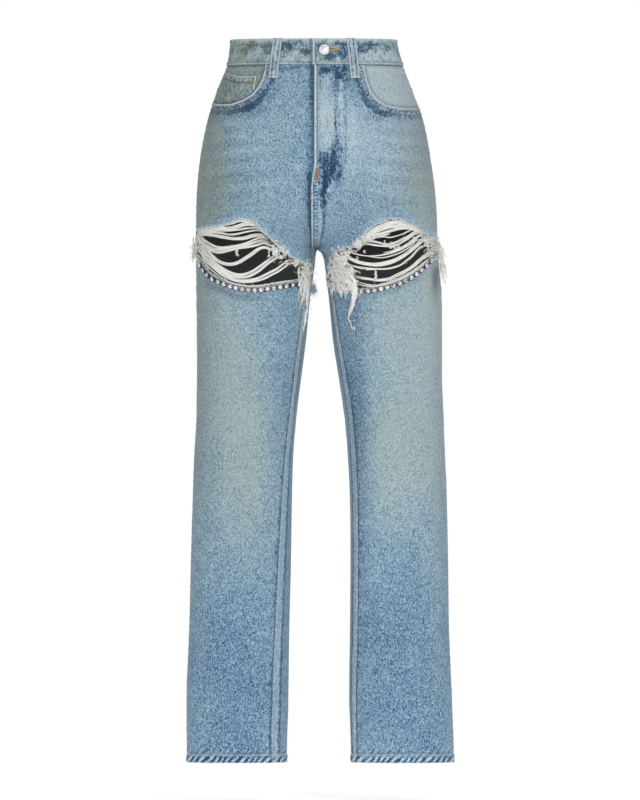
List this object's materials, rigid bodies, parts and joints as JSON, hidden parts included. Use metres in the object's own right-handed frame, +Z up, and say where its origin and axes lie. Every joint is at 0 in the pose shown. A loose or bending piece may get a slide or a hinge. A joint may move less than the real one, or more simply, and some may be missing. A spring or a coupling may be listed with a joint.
{
  "type": "ripped jeans",
  "caption": "High-waisted straight-leg jeans in washed denim, filled out as when worn, with frayed, crystal-edged rips across both thighs.",
  "frame": {"origin": "middle of the waist opening at the top of the waistband", "axes": "+Z up, the front of the jeans faces -Y, the wearer's left is on +X"},
  "size_m": [0.4092, 0.2462, 1.1056],
  "materials": {
    "denim": "washed indigo twill, faded at hips, thighs and knees, with a yellow-green tint",
    "waistband_denim": "washed indigo twill, two layers, puckered along its edges",
    "threads": "bare ecru weft threads and fringe",
    "crystals": "clear faceted stones in dull silver claws",
    "silver_metal": "plain polished nickel-silver colour",
    "copper_metal": "small worn brass-coloured rivet"
  },
  "bodies": {
    "root": {"waistband": "waistband_denim", "front_panel_right": "denim", "front_panel_left": "denim", "back_panel_right": "denim", "back_panel_left": "denim", "yoke_right": "denim", "yoke_left": "denim", "back_pocket_right": "denim", "back_pocket_left": "denim", "pocket_facing_right": "denim", "pocket_facing_left": "denim", "coin_pocket": "denim", "fly_shield": "denim", "belt_loop_front_right": "waistband_denim", "belt_loop_front_left": "waistband_denim", "belt_loop_back_right": "waistband_denim", "belt_loop_back_left": "waistband_denim", "belt_loop_centre_back": "waistband_denim", "threads_right": "threads", "threads_left": "threads", "crystal_trim_right": "crystals", "crystal_trim_left": "crystals", "button": "silver_metal", "rivet_right_pocket": "silver_metal", "rivet_left_pocket": "silver_metal", "rivet_coin_pocket": "copper_metal"}
  },
  "joints": []
}
